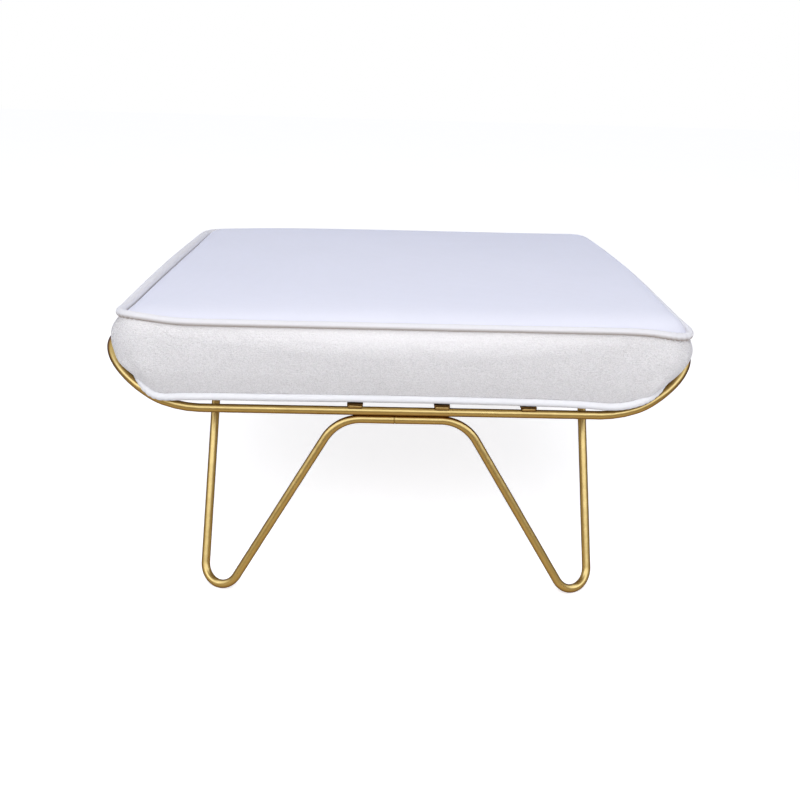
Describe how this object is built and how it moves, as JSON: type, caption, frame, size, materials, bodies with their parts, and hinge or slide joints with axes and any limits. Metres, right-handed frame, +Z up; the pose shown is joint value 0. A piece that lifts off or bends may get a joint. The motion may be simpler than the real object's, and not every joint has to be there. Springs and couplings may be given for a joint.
{
  "type": "ottoman",
  "caption": "Low ottoman: a loose piped box cushion rests in a cradle of bent round rod with turned-up ends, on V-shaped rod legs.",
  "frame": {"origin": "on the floor, under the middle of the ottoman", "axes": "+X to the right along the long side, +Y to the back, +Z up"},
  "size_m": [0.7774, 0.6452, 0.3664],
  "materials": {
    "gold_rod": "satin gold coating on steel rod",
    "gold_bar": "satin gold coating on flat steel bar",
    "white_cloth": "plain white woven canvas",
    "white_piping": "white self piping",
    "zip_tape": "white zip tape with a nylon coil",
    "zip_metal": "die-cast slider",
    "wadding": "polyester wadding",
    "foam": "cut polyurethane foam"
  },
  "bodies": {
    "frame": {"seat_ring": "gold_rod", "leg_loop_front": "gold_rod", "leg_loop_rear": "gold_rod", "slat_1": "gold_bar", "slat_2": "gold_bar", "slat_3": "gold_bar", "slat_weld_front_1": "gold_bar", "slat_weld_front_2": "gold_bar", "slat_weld_front_3": "gold_bar", "slat_weld_rear_1": "gold_bar", "slat_weld_rear_2": "gold_bar", "slat_weld_rear_3": "gold_bar", "rail_weld_front_left": "gold_bar", "rail_weld_front_right": "gold_bar", "rail_weld_rear_left": "gold_bar", "rail_weld_rear_right": "gold_bar"},
    "cushion": {"cover_top": "white_cloth", "cover_bottom": "white_cloth", "boxing": "white_cloth", "zip_band_lower": "white_cloth", "zip_band_upper": "white_cloth", "zip_chain": "zip_tape", "piping_top": "white_piping", "piping_bottom": "white_piping", "wadding_top": "wadding", "wadding_bottom": "wadding", "foam_core": "foam"},
    "zip_slider": {"zip_slider": "zip_metal"}
  },
  "joints": [
    {"name": "cushion_lift", "type": "slide", "parent": "frame", "child": "cushion", "axis": [0, 0, 1], "range_m": [0, 0.15]},
    {"name": "zip_slide", "type": "slide", "parent": "cushion", "child": "zip_slider", "axis": [1, 0, 0], "range_m": [0, 0.47]}
  ]
}
